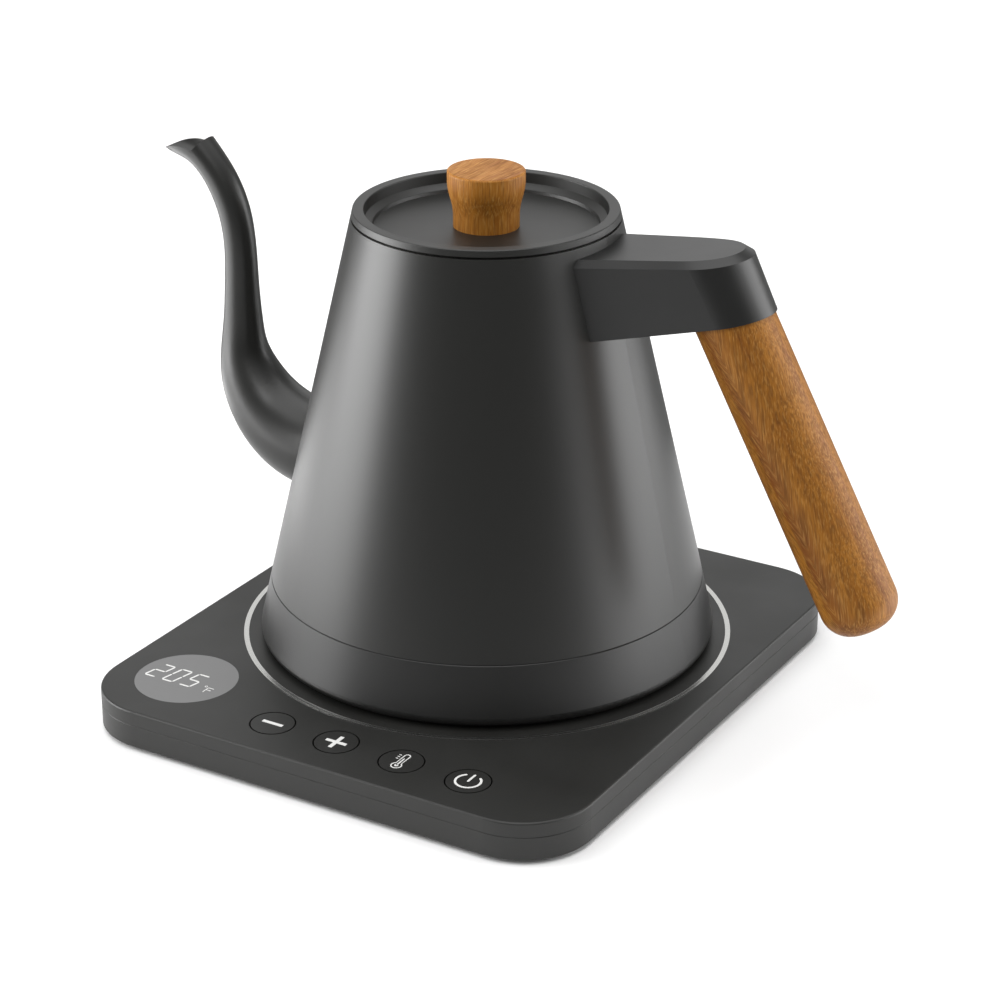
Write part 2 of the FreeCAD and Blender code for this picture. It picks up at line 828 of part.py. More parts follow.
def make_handle_screws():
    body = new_body("handle_screws", kettle_place)
    head_low = arm_screw_seat - s.screw_head_height
    heads = [(x, y, s.screw_head_radius) for x, y in arm_screw_places]
    pad(body, circles(new_sketch(body, "XY_Plane", (0, 0, head_low)), heads), s.screw_head_height)
    shanks = [(x, y, s.screw_radius) for x, y in arm_screw_places]
    pad(body, circles(new_sketch(body, "XY_Plane", (0, 0, head_low)), shanks),
        s.screw_head_height + s.arm_screw_wall + s.screw_bite)


def make_handle_grip():
    body = new_body("handle_grip", kettle_place)
    along = new_sketch(body, "XZ_Plane", grip_frame, s.grip_tilt)
    turn(body, outline(along, [
        (s.grip_stud_radius, s.grip_radius),
        (s.grip_stud_radius, -s.grip_stud_in_grip),
        (0, -s.grip_stud_in_grip),
        (0, -s.grip_length),
        (s.grip_radius, -s.grip_length),
        (s.grip_radius, s.grip_radius),
    ]))
    lowest_edge = number(grip_top_z - s.grip_length * cosine(s.grip_tilt))
    dressed(body, "Fillet", s.grip_round,
            lambda edge: abs(edge.BoundBox.Center.z - lowest_edge) < number(s.grip_radius) / 2
            and near(edge.BoundBox.YLength, s.grip_radius * 2))
    pocket(body, outline(new_sketch(body, "XZ_Plane"), side_region(arm_under, FAR)), both=True)


def make_grip_stud():
    body = new_body("grip_stud", kettle_place)
    along = new_sketch(body, "XZ_Plane", grip_frame, s.grip_tilt)
    turn(body, rectangle(along, 0, s.grip_stud_radius, -s.grip_stud_in_grip, s.grip_stud_in_arm))


# Lid: raised rim, dished top, plug with a ribbed seal, liner and wooden knob

lid_low = s.kettle_height + s.lid_gap
lid_top = lid_low + s.lid_rim_height
dish_floor = lid_top - s.dish_depth
dish_under = dish_floor - s.lid_wall
dish_radius = cone(lid_top) - s.lid_rim_width
plug_radius = collar_radius - s.plug_gap
plug_low = lip_top - s.plug_depth
seal_low = plug_low + s.seal_rise
seal_high = seal_low + s.seal_height
washer_low = dish_under - s.washer_thickness
knob_head_low = washer_low - s.knob_head_height


def make_lid_shell():
    rest_radius = inner(lip_top) - s.rim_ledge / 3
    step_high = dish_floor + s.dish_step_height
    step_low = step_high - s.dish_step_drop
    step_radius = dish_radius - s.dish_step_width
    bore = s.knob_screw_radius + s.fit_gap
    body = turned("lid_shell", kettle_place, [
        (rest_radius, lid_low),
        (cone(lid_low), lid_low),
        (cone(lid_top), lid_top),
        (dish_radius, lid_top),
        (dish_radius - s.lid_edge, step_high),
        (step_radius, step_low),
        (step_radius - s.lid_edge, dish_floor),
        (bore, dish_floor),
        (bore, dish_under),
        (plug_radius - s.plug_wall, dish_under),
        (plug_radius - s.plug_wall, plug_low),
        (plug_radius, plug_low),
        (plug_radius, seal_low),
        (plug_radius - s.seal_groove, seal_low),
        (plug_radius - s.seal_groove, seal_high),
        (plug_radius, seal_high),
        (plug_radius, lip_top),
        (rest_radius, lip_top),
    ])
    dressed(body, "Fillet", s.lid_edge,
            lambda edge: level_edge(lid_top)(edge) or ring_edge(step_radius, step_low)(edge))


def make_lid_gasket():
    root = plug_radius - s.seal_groove
    crest = collar_radius - s.running_gap
    rib = s.seal_height / 4
    turned("lid_gasket", kettle_place, [
        (root, seal_low),
        (plug_radius, seal_low),
        (crest, seal_low + rib),
        (plug_radius, seal_low + rib * 2),
        (crest, seal_low + rib * 3),
        (plug_radius, seal_high),
        (root, seal_high),
    ])


def make_lid_liner():
    spigot = plug_radius - s.plug_wall
    turned("lid_liner", kettle_place, [
        (0, plug_low - s.liner_thickness),
        (plug_radius, plug_low - s.liner_thickness),
        (plug_radius, plug_low),
        (spigot, plug_low),
        (spigot, plug_low + s.liner_spigot),
        (spigot - s.liner_thickness, plug_low + s.liner_spigot),
        (spigot - s.liner_thickness, plug_low),
        (0, plug_low),
    ])


def make_lid_knob():
    top = dish_floor + s.knob_height
    flank_low = dish_floor + s.knob_straight
    flank_high = flank_low + s.knob_flank
    swell = (s.knob_radius - s.knob_waist_radius) / 2
    half = s.knob_flank / 2
    bend = (swell * swell + half * half) / (swell * 2)
    bore = s.knob_screw_radius + s.fit_gap
    body = turned("lid_knob", kettle_place, [
        (bore, dish_floor),
        (s.knob_waist_radius, dish_floor),
        (s.knob_waist_radius, flank_low),
        (s.knob_waist_radius + swell, flank_low + half),
        (s.knob_radius, flank_high),
        (s.knob_radius, top),
        (0, top),
        (0, dish_floor + s.knob_screw_depth + s.drill_room),
        (bore, dish_floor + s.knob_screw_depth + s.drill_room),
    ], {2: (bend, -1), 3: (bend, 1)})
    dressed(body, "Fillet", s.knob_edge, ring_edge(s.knob_radius, top))


def make_knob_screw():
    turned("knob_screw", kettle_place, [
        (0, knob_head_low),
        (s.knob_head_radius, knob_head_low),
        (s.knob_head_radius, washer_low),
        (s.knob_screw_radius, washer_low),
        (s.knob_screw_radius, dish_floor + s.knob_screw_depth),
        (0, dish_floor + s.knob_screw_depth),
    ])


def make_knob_washer():
    bore = s.knob_screw_radius + s.fit_gap
    turned("knob_washer", kettle_place, [
        (bore, washer_low),
        (s.washer_radius, washer_low),
        (s.washer_radius, dish_under),
        (bore, dish_under),
    ])


# 360 degree connector: tower on the base, loose guard ring round it, socket in the kettle

tower_top = base_top + s.tower_height
groove_floor = tower_top - s.contact_groove_depth
earth_floor = tower_top - s.earth_bore_depth
flange_low = cover_under - s.flange_thickness
socket_seat = s.guard_height - s.seat_gap
socket_ceiling = s.tower_height - s.seat_gap + s.socket_headroom


def make_base_connector():
    turned("base_connector", connector_place, [
        (0, flange_low),
        (s.flange_radius, flange_low),
        (s.flange_radius, cover_under),
        (s.shoulder_radius, cover_under),
        (s.shoulder_radius, base_top),
        (s.tower_radius, base_top),
        (s.tower_radius, tower_top - s.tower_edge),
        (s.tower_radius - s.tower_edge, tower_top),
        (s.contact_groove_outer, tower_top),
        (s.contact_groove_outer, groove_floor),
        (s.contact_groove_inner, groove_floor),
        (s.contact_groove_inner, tower_top),
        (s.earth_bore_radius, tower_top),
        (s.earth_bore_radius, earth_floor),
        (0, earth_floor),
    ])


def make_base_contacts():
    body = new_body("base_contacts", connector_place)
    ring = new_sketch(body, "XY_Plane", (0, 0, groove_floor))
    pad(body, circles(ring, [(0, 0, s.contact_groove_outer - s.fit_gap),
                             (0, 0, s.contact_groove_inner + s.fit_gap)]), s.contact_thickness)
    cup = new_sketch(body, "XY_Plane", (0, 0, earth_floor))
    pad(body, circles(cup, [(0, 0, s.earth_bore_radius - s.fit_gap)]), s.contact_thickness)


def make_connector_ring():
    bore = s.tower_radius + s.running_gap
    turned("connector_ring", connector_place, [
        (bore, base_top),
        (s.guard_radius, base_top),
        (s.guard_radius, base_top + s.guard_height),
        (bore, base_top + s.guard_height),
    ])


def make_kettle_connector():
    bore = s.tower_radius + s.collar_radius_gap
    mouth = s.guard_radius + s.collar_radius_gap
    flange_top = s.skirt_floor + s.socket_flange
    roof = socket_ceiling + s.socket_roof
    turned("kettle_connector", kettle_place, [
        (mouth, s.socket_rim_lift),
        (s.socket_radius, s.socket_rim_lift),
        (s.socket_radius, s.skirt_floor),
        (s.socket_flange_radius, s.skirt_floor),
        (s.socket_flange_radius, flange_top),
        (s.socket_radius, flange_top),
        (s.socket_radius, roof),
        (0, roof),
        (0, socket_ceiling),
        (bore, socket_ceiling),
        (bore, socket_seat),
        (mouth, socket_seat),
    ])


def make_kettle_contacts():
    ring_length = s.socket_headroom + s.contact_groove_depth - s.contact_thickness - s.contact_gap
    pin_length = s.socket_headroom + s.earth_bore_depth - s.contact_thickness - s.contact_gap
    body = new_body("kettle_contacts", kettle_place)
    ring = new_sketch(body, "XY_Plane", (0, 0, socket_ceiling))
    pad(body, circles(ring, [(0, 0, s.contact_groove_outer - s.contact_gap),
                             (0, 0, s.contact_groove_inner + s.contact_gap)]), ring_length, down=True)
    earth = new_sketch(body, "XY_Plane", (0, 0, socket_ceiling))
    pad(body, circles(earth, [(0, 0, s.earth_bore_radius - s.contact_gap)]), pin_length, down=True)


# Base housing: tray and cover meet at the seam and are screwed together from below

half_width = s.base_width / 2
half_depth = s.base_depth / 2
post_places = mirrored_places(half_width - s.post_inset, s.post_spread)
foot_places = mirrored_places(half_width - s.foot_inset, half_depth - s.foot_inset)
lens_x = s.lens_x - half_width
lens_y = s.lens_y - half_depth
first_button = s.button_first_x - half_width
button_row = s.button_y - half_depth
button_places = [(first_button + s.button_pitch * i, button_row) for i in range(4)]
board_left = s.board_left - half_width
board_right = button_places[-1][0] + s.board_right
board_front = s.board_front - half_depth
board_back = board_front + s.board_back
power_left = s.power_left - half_width
power_right = power_left + s.power_right
power_back = half_depth - s.power_back
power_front = power_back - s.power_front


def housing_block(body, low, high, wall, floor_at, from_above):
    """One half of the base: a rounded block hollowed from its seam side."""
    block = round_rectangle(new_sketch(body, "XY_Plane", (0, 0, low)), half_width, half_depth, s.base_corner)
    pad(body, block, high - low)
    return lambda: pocket(
        body,
        round_rectangle(new_sketch(body, "XY_Plane", (0, 0, high if from_above else low)),
                        half_width - wall, half_depth - wall, s.base_corner - wall),
        high - floor_at if from_above else floor_at - low, up=not from_above)


def notch_for_gland(body):
    inside = -(half_depth - s.gland_length)
    ring = circles(new_sketch(body, "XZ_Plane", (0, 0, inside)), [(0, s.gland_height, s.gland_radius)])
    pocket(body, ring)


def make_base_tray():
    body = new_body("base_tray", table)
    hollow = housing_block(body, base_under, base_seam, s.tray_wall, tray_top, True)
    dressed(body, "Chamfer", s.tray_edge, level_edge(base_under))
    dressed(body, "Chamfer", s.tray_seam_edge, level_edge(base_seam))
    hollow()
    posts = [(x, y, s.post_radius) for x, y in post_places]
    pad(body, circles(new_sketch(body, "XY_Plane", (0, 0, tray_top)), posts), base_seam - tray_top)
    support = [(0, s.kettle_offset, s.flange_radius), (0, s.kettle_offset, s.tower_radius)]
    pad(body, circles(new_sketch(body, "XY_Plane", (0, 0, tray_top)), support), flange_low - tray_top)
    lifts = [(x, y, s.board_post_radius) for x, y in board_post_places()]
    pad(body, circles(new_sketch(body, "XY_Plane", (0, 0, tray_top)), lifts), s.board_lift)
    heads = [(x, y, s.screw_head_radius + s.fit_gap) for x, y in post_places]
    pocket(body, circles(new_sketch(body, "XY_Plane", (0, 0, base_under)), heads), s.screw_recess, up=True)
    shanks = [(x, y, s.screw_radius + s.fit_gap) for x, y in post_places]
    pocket(body, circles(new_sketch(body, "XY_Plane", (0, 0, base_under)), shanks), up=True)
    feet = [(x, y, s.foot_pad_radius + s.fit_gap) for x, y in foot_places]
    pocket(body, circles(new_sketch(body, "XY_Plane", (0, 0, base_under)), feet), s.foot_recess, up=True)
    notch_for_gland(body)


def make_base_cover():
    body = new_body("base_cover", table)
    hollow = housing_block(body, base_seam, base_top, s.cover_wall, cover_under, False)
    dressed(body, "Fillet", s.cover_edge, level_edge(base_top))
    hollow()
    posts = [(x, y, s.post_radius) for x, y in post_places]
    pad(body, circles(new_sketch(body, "XY_Plane", (0, 0, base_seam)), posts), cover_under - base_seam)
    pilots = [(x, y, s.screw_radius + s.fit_gap) for x, y in post_places]
    pocket(body, circles(new_sketch(body, "XY_Plane", (0, 0, base_seam)), pilots),
           cover_under - base_seam, up=True)
    through = [(x, y, s.button_radius + s.button_gap) for x, y in button_places]
    through.append((lens_x, lens_y, s.lens_radius - s.lens_ledge))
    through.append((0, s.kettle_offset, s.shoulder_radius + s.fit_gap))
    pocket(body, circles(new_sketch(body, "XY_Plane", (0, 0, base_top)), through))
    lens = [(lens_x, lens_y, s.lens_radius + s.fit_gap)]
    pocket(body, circles(new_sketch(body, "XY_Plane", (0, 0, base_top)), lens), s.lens_thickness)
    ring = [(0, s.kettle_offset, s.ring_radius + s.fit_gap),
            (0, s.kettle_offset, s.ring_radius - s.ring_width - s.fit_gap)]
    pocket(body, circles(new_sketch(body, "XY_Plane", (0, 0, base_top)), ring), s.ring_depth)
    notch_for_gland(body)


def make_seat_ring():
    low = base_top - s.ring_depth
    turned("seat_ring", connector_place, [
        (s.ring_radius - s.ring_width, low),
        (s.ring_radius, low),
        (s.ring_radius, base_top + s.ring_proud),
        (s.ring_radius - s.ring_width, base_top + s.ring_proud),
    ])


def make_rubber_feet():
    body = new_body("rubber_feet", table)
    pads = [(x, y, s.foot_pad_radius) for x, y in foot_places]
    pad(body, circles(new_sketch(body, "XY_Plane"), pads), s.foot_height + s.foot_recess)


def make_base_screws():
    head_low = base_under + s.screw_recess - s.screw_head_height
    body = new_body("base_screws", table)
    heads = [(x, y, s.screw_head_radius) for x, y in post_places]
    pad(body, circles(new_sketch(body, "XY_Plane", (0, 0, head_low)), heads), s.screw_head_height)
    shanks = [(x, y, s.screw_radius) for x, y in post_places]
    pad(body, circles(new_sketch(body, "XY_Plane", (0, 0, head_low)), shanks),
        cover_under - s.fit_gap - head_low)


def make_cord_gland():
    body = new_body("cord_gland", table)
    rings = [(0, s.gland_height, s.gland_radius), (0, s.gland_height, s.gland_bore)]
    inside = -(half_depth - s.gland_length)
    pad(body, circles(new_sketch(body, "XZ_Plane", (0, 0, inside)), rings), s.gland_length, down=True)


# Display and buttons, with the boards under them

def board_post_places():
    inset = s.board_post_radius
    front = [(x, y) for x in (board_left + inset, board_right - inset)
             for y in (board_front + inset, board_back - inset)]
    back = [(x, y) for x in (power_left + inset, power_right - inset)
            for y in (power_front + inset, power_back - inset)]
    return front + back


def make_board(name, left, right, front, back):
    body = new_body(name, table)
    pad(body, rectangle(new_sketch(body, "XY_Plane", (0, 0, board_low)), left, right, front, back),
        s.board_thickness)


def make_block(name, x, y, low, width, depth, height):
    body = new_body(name, table)
    across, along = width / 2, depth / 2
    sketch = new_sketch(body, "XY_Plane", (0, 0, low))
    pad(body, rectangle(sketch, x - across, x + across, y - along, y + along), height)


def make_display():
    lens = new_body("display_lens", table)
    disc = new_sketch(lens, "XY_Plane", (0, 0, base_top - s.lens_thickness))
    pad(lens, circles(disc, [(lens_x, lens_y, s.lens_radius)]), s.lens_thickness)
    make_block("display_module", lens_x, lens_y, board_top, s.module_width, s.module_depth,
               cover_under - board_top)


switch_top = board_top + s.switch_height + s.switch_plunger


def make_tact_switches():
    body = new_body("tact_switches", table)
    half = s.switch_size / 2
    for x, y in button_places:
        case = new_sketch(body, "XY_Plane", (0, 0, board_top))
        pad(body, rectangle(case, x - half, x + half, y - half, y + half), s.switch_height)
    plungers = [(x, y, s.switch_plunger_radius) for x, y in button_places]
    pad(body, circles(new_sketch(body, "XY_Plane", (0, 0, board_top)), plungers),
        s.switch_height + s.switch_plunger)


def make_button(name, x, y):
    flange_under = cover_under - s.button_flange_thickness
    stem_low = switch_top + s.button_travel + s.running_gap
    turned(name, (s.base_x + x, y, 0), [
        (0, stem_low),
        (s.button_stem_radius, stem_low),
        (s.button_stem_radius, flange_under),
        (s.button_radius + s.button_flange, flange_under),
        (s.button_radius + s.button_flange, cover_under),
        (s.button_radius, cover_under),
        (s.button_radius, base_top),
        (0, base_top),
    ])


def make_electronics():
    make_board("control_board", board_left, board_right, board_front, board_back)
    make_board("power_board", power_left, power_right, power_front, power_back)
    middle = (power_left + power_right) / 2
    make_block("power_relay", middle, power_front + s.relay_width, board_top,
               s.relay_length, s.relay_width, s.relay_height)
    make_block("filter_capacitor", middle, power_back - s.capacitor_width * 2, board_top,
               s.capacitor_length, s.capacitor_width, s.capacitor_height)


make_kettle_body()
make_kettle_skirt()
make_skirt_screws()
make_plate_studs()
make_heater_plate()
make_heat_diffuser()
make_heating_element()
make_temperature_probe()
make_thermal_cutout()
make_gooseneck_spout()
make_handle_arm()
make_handle_bracket()
make_handle_screws()
make_handle_grip()
make_grip_stud()
make_lid_shell()
make_lid_gasket()
make_lid_liner()
make_lid_knob()
make_knob_screw()
make_knob_washer()
make_base_connector()
make_base_contacts()
make_connector_ring()
make_kettle_connector()
make_kettle_contacts()
make_base_tray()
make_base_cover()
make_seat_ring()
make_rubber_feet()
make_base_screws()
make_cord_gland()
make_display()
make_tact_switches()
for name, (x, y) in zip(("button_minus", "button_plus", "button_preset", "button_power"), button_places):
    make_button(name, x, y)
make_electronics()

# Check the whole document, then write one file per sub-part
doc.recompute()
for thing in doc.Objects:
    if "Invalid" in thing.State or "Error" in thing.State:
        raise ValueError("%s failed: %s" % (thing.Name, thing.State))
for node in nodes:
    if node.Shape.isNull() or not node.Shape.isValid():
        raise ValueError("%s has no valid shape" % node.Label)

os.makedirs("parts", exist_ok=True)
for node in nodes:
    node.Shape.exportStep("parts/%s.step" % node.Label)
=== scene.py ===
import bpy
import numpy as np
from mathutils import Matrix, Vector


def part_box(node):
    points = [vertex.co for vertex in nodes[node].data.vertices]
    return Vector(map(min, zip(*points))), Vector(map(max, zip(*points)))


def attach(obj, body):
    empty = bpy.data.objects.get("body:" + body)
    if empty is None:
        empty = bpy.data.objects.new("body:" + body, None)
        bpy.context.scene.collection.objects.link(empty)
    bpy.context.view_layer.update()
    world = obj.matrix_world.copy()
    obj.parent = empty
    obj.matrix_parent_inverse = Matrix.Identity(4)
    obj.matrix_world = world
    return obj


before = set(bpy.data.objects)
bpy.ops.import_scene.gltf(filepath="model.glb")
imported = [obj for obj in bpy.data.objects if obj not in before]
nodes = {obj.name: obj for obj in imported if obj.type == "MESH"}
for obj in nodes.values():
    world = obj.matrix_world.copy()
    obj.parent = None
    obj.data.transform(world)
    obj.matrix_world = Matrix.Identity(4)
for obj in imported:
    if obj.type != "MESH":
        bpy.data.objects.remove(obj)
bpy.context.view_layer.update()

# Base housing: a tray and a cover of dark grey ABS, injection moulded against a lightly spark-eroded
# tool, which leaves an even satin grain. The two halves meet at a seam and are screwed from below.

MM = 0.001
DRIFT_MM = 40
BUMP_STRENGTH = 0.5
# Most values of a noise lie between these two.
NOISE_LOW, NOISE_HIGH = 0.3, 0.7
# The Mix node has several inputs and outputs of one name, so they are given by number.
COLOUR_A, COLOUR_B, COLOUR_OUT = 6, 7, 2


def srgb(text):
    """A hex colour as linear red, green, blue and alpha."""
    part = np.array([int(text[i:i + 2], 16) for i in (1, 3, 5)]) / 255
    linear = np.where(part <= 0.04045, part / 12.92, ((part + 0.055) / 1.055) ** 2.4)
    return (*linear, 1.0)


def add(tree, kind, sockets, **settings):
    """Adds one node with its settings; each socket gets a value or a link from another node."""
    node = tree.nodes.new("ShaderNode" + kind)
    for name, value in settings.items():
        setattr(node, name, value)
    for name, value in sockets.items():
        if isinstance(value, bpy.types.NodeSocket):
            tree.links.new(value, node.inputs[name])
        else:
            node.inputs[name].default_value = value
    return node


def new_material(name):
    """An empty material and its node tree."""
    material = bpy.data.materials.new(name)
    material.use_nodes = True
    material.node_tree.nodes.clear()
    return material, material.node_tree


def wear(names, material):
    """Gives CAD nodes one material."""
    for name in names:
        mesh = nodes[name].data
        mesh.materials.clear()
        mesh.materials.append(material)


def grained(name, colour, roughness, grain_mm, depth_mm, uneven=0.06, metallic=0.0, mottle=0.12):
    """A moulded or coated surface: fine grain as bump, slow drift in colour and gloss over the piece.
    The grain is a noise whose cells are grain_mm wide; the drift has cells of DRIFT_MM."""
    material, tree = new_material(name)
    place = add(tree, "TexCoord", {}).outputs["Object"]
    grain = add(tree, "TexNoise", {"Vector": place, "Scale": 1 / (grain_mm * MM), "Detail": 2.0})
    drift = add(tree, "TexNoise", {"Vector": place, "Scale": 1 / (DRIFT_MM * MM), "Detail": 3.0})
    low, high = (tuple(c * (1 + sign * mottle) for c in srgb(colour)[:3]) + (1.0,) for sign in (-1, 1))
    tone = add(tree, "Mix", {"Factor": drift.outputs["Fac"], COLOUR_A: low, COLOUR_B: high},
               data_type="RGBA")
    gloss = add(tree, "MapRange", {
        "Value": drift.outputs["Fac"], "From Min": NOISE_LOW, "From Max": NOISE_HIGH,
        "To Min": roughness - uneven, "To Max": roughness + uneven})
    bump = add(tree, "Bump", {"Height": grain.outputs["Fac"], "Distance": depth_mm * MM,
                              "Strength": BUMP_STRENGTH})
    shader = add(tree, "BsdfPrincipled", {
        "Base Color": tone.outputs[COLOUR_OUT], "Roughness": gloss.outputs["Result"],
        "Metallic": metallic, "Normal": bump.outputs["Normal"]})
    add(tree, "OutputMaterial", {"Surface": shader.outputs["BSDF"]})
    return material


# Moulded ABS looks dark grey, with a wide soft sheen and no clear reflection. The grain of such a tool
# is near 0.15 mm; it is drawn at 0.5 mm so that it shows in the picture.
moulded_abs = grained("moulded_grey_abs", "#181816", 0.46, 0.5, 0.02)
wear(["base_tray", "base_cover"], moulded_abs)

# Feet and cord gland: black nitrile rubber, compression moulded. The feet are pressed into recesses
# below the tray and the gland into a hole in its back wall.

# Rubber looks nearly black and dull, with hardly a highlight. Its grain is drawn coarser than it is.
nitrile = grained("black_nitrile_rubber", "#1a1a1a", 0.75, 0.6, 0.02)
wear(["rubber_feet", "cord_gland"], nitrile)

# Screws of the base, skirt, arm and knob: zinc-plated steel, cold headed, driven in from below or from
# inside so that none shows when the kettle stands on its base.

# Zinc plate looks pale and cool, with a cloudy tarnish in patches of about a millimetre.
zinc = grained("zinc_plated_steel", "#b9b8b2", 0.32, 1.2, 0.004, metallic=1.0)
wear(["base_screws", "skirt_screws", "handle_screws", "knob_screw"], zinc)

# Boards and parts inside the base: glass fibre boards on posts of the tray, which carry the display
# module, the switches, the relay and the filter capacitor, all soldered on.

# Solder mask looks dark green and half glossy over the weave of the glass, which is near 0.8 mm.
solder_mask = grained("green_solder_mask", "#1d5a38", 0.35, 0.8, 0.01)
wear(["control_board", "power_board"], solder_mask)
# Epoxy cases look flat black with a faint sheen. Their grain is drawn coarser than it is.
black_case = grained("black_epoxy_case", "#1c1c1c", 0.5, 0.4, 0.01)
wear(["display_module", "tact_switches", "power_relay", "filter_capacitor"], black_case)

# Connector: tower, guard ring and socket of black glass-filled nylon, moulded, with stamped brass
# contacts pushed into them. The thermal cut-out has a case of the same nylon.

# Filled nylon looks black and dry, since glass fibres break up its sheen.
nylon = grained("black_filled_nylon", "#191919", 0.55, 0.5, 0.02)
wear(["base_connector", "connector_ring", "kettle_connector", "thermal_cutout"], nylon)
# Stamped brass looks warm yellow and fairly bright, with small dull patches.
brass = grained("stamped_brass", "#c89b4a", 0.28, 0.9, 0.003, metallic=1.0)
wear(["base_contacts", "kettle_contacts"], brass)

# Ring in the base round the kettle: a polished stainless steel hoop, turned, so its faint scratches
# run round it. It is pressed into a groove of the cover.

STEEL_COLOUR = "#b4b2ac"
SCRATCH_STRENGTH = 0.4
FLAT = (1, 1, 0)


def turned_steel(name, colour, roughness, axis, pitch_mm):
    """Turned steel: scratches are a noise of the distance from the axis, pitch_mm apart."""
    scratch_mm, spread = 0.003, 0.3
    material, tree = new_material(name)
    place = add(tree, "TexCoord", {}).outputs["Object"]
    centred = add(tree, "VectorMath", {0: place, 1: axis}, operation="SUBTRACT")
    across = add(tree, "VectorMath", {0: centred.outputs[0], 1: FLAT}, operation="MULTIPLY")
    radius = add(tree, "VectorMath", {0: across.outputs[0]}, operation="LENGTH")
    lines = add(tree, "TexNoise", {"W": radius.outputs["Value"], "Scale": 1 / (pitch_mm * MM),
                                   "Detail": 2.0}, noise_dimensions="1D")
    gloss = add(tree, "MapRange", {
        "Value": lines.outputs["Fac"], "From Min": NOISE_LOW, "From Max": NOISE_HIGH,
        "To Min": roughness * (1 - spread), "To Max": roughness * (1 + spread)})
    bump = add(tree, "Bump", {"Height": lines.outputs["Fac"], "Distance": scratch_mm * MM,
                              "Strength": SCRATCH_STRENGTH})
    shader = add(tree, "BsdfPrincipled", {
        "Base Color": srgb(colour), "Metallic": 1.0, "Roughness": gloss.outputs["Result"],
        "Normal": bump.outputs["Normal"]})
    add(tree, "OutputMaterial", {"Surface": shader.outputs["BSDF"]})
    return material


ring_low, ring_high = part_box("seat_ring")
kettle_axis = (ring_low + ring_high) / 2
# The polished hoop is a thin line that goes from white to dark on its way round. Its scratches are
# drawn at 0.3 mm, coarser than polishing leaves them.
wear(["seat_ring"], turned_steel("polished_steel_hoop", "#c9c9c6", 0.22, kettle_axis, 0.3))

# Display: a disc of grey acrylic, satin on its front, let in flush. Its lit figures show through as
# white bars; here each bar is a thin plate on the disc.

# Satin acrylic looks an even mid grey with a soft sheen. Its grain is drawn coarser than it is.
acrylic = grained("grey_satin_acrylic", "#6a6a6a", 0.42, 0.4, 0.004, mottle=0.03)
wear(["display_lens"], acrylic)

PRINT_THICKNESS = 0.05
THINNEST_TIP = 0.02
TIP_STEPS = 7


def stroke(path, width, tip="round", closed=False):
    """A flat bar along a path of points: at each place along it, a box section of the bar's width and
    the print's thickness. Its half width h shrinks to the ends: as a circle's for a round tip, in step
    with the distance to the end for a pointed one. Returns corners and faces, in millimetres."""
    path = np.array(path, float)
    if closed:
        path = np.vstack([path, path[:1]])
    run = np.concatenate([[0], np.cumsum(np.linalg.norm(np.diff(path, axis=0), axis=1))])
    half = width / 2
    ends = half * (1 - np.cos(np.linspace(0, np.pi / 2, TIP_STEPS)))
    extra = [] if closed or tip == "square" else [ends, run[-1] - ends]
    at = np.unique(np.round(np.concatenate([run, *extra]), 5))
    points = np.stack([np.interp(at, run, path[:, k]) for k in (0, 1)], axis=1)
    forward = np.gradient(points, at, axis=0)
    if closed:
        first_way = (path[1] - path[0]) / run[1]
        last_way = (path[-1] - path[-2]) / (run[-1] - run[-2])
        forward[0] = forward[-1] = first_way + last_way
    forward /= np.linalg.norm(forward, axis=1, keepdims=True)
    side = np.stack([-forward[:, 1], forward[:, 0]], axis=1)
    short = np.clip(np.minimum(at, run[-1] - at), 0, half)
    full = np.full_like(at, half)
    shape = {"square": full, "round": np.sqrt(half**2 - (half - short) ** 2), "point": short}[tip]
    h = full if closed else np.maximum(shape, THINNEST_TIP)
    left, right = points + side * h[:, None], points - side * h[:, None]
    low, high = np.zeros((len(at), 1)), np.full((len(at), 1), PRINT_THICKNESS)
    rings = np.stack([np.hstack([left, low]), np.hstack([right, low]), np.hstack([right, high]),
                      np.hstack([left, high])], axis=1)
    first = np.arange(len(at) - 1)[:, None] * 4 + np.arange(4)[None, :]
    after = np.arange(len(at) - 1)[:, None] * 4 + (np.arange(4)[None, :] + 1) % 4
    faces = np.stack([first, after, after + 4, first + 4], axis=2).reshape(-1, 4)
    last = 4 * (len(at) - 1)
    caps = np.array([[3, 2, 1, 0], [last, last + 1, last + 2, last + 3]])
    return rings.reshape(-1, 3), faces if closed else np.vstack([faces, caps])


def arc(centre, radius, start, end, count=40):
    """Points on a circle from one angle to another, in degrees."""
    angle = np.radians(np.linspace(start, end, count))
    return np.stack([centre[0] + radius * np.cos(angle), centre[1] + radius * np.sin(angle)], axis=1)


def mark(name, strokes, middle, material, body):
    """Joins strokes into one printed mark about the point middle, and lets it ride on its body."""
    start = np.cumsum([0] + [len(corners) for corners, _ in strokes[:-1]])
    corners = np.vstack([part for part, _ in strokes]) * MM + np.array(middle)
    faces = np.vstack([part + offset for (_, part), offset in zip(strokes, start)])
    mesh = bpy.data.meshes.new(name)
    mesh.from_pydata(corners.tolist(), [], faces.tolist())
    mesh.materials.append(material)
    piece = bpy.data.objects.new(name, mesh)
    bpy.context.scene.collection.objects.link(piece)
    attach(piece, body)


# The lit bars look plain white, a little duller than the white floor.
lit_white = grained("lit_white_figures", "#d6d6d4", 0.5, 0.5, 0.002, mottle=0.01)
FIGURE_WIDTH, FIGURE_HEIGHT, FIGURE_PITCH = 4.3, 9.3, 7.35
FIGURE_SLANT, SEGMENT_WIDTH, SEGMENT_GAP = 0.21, 0.7, 0.1
MIDDLE_FIGURE_X = -4.0
FIGURES = {2: "abged", 0: "abcdef", 5: "afgcd"}


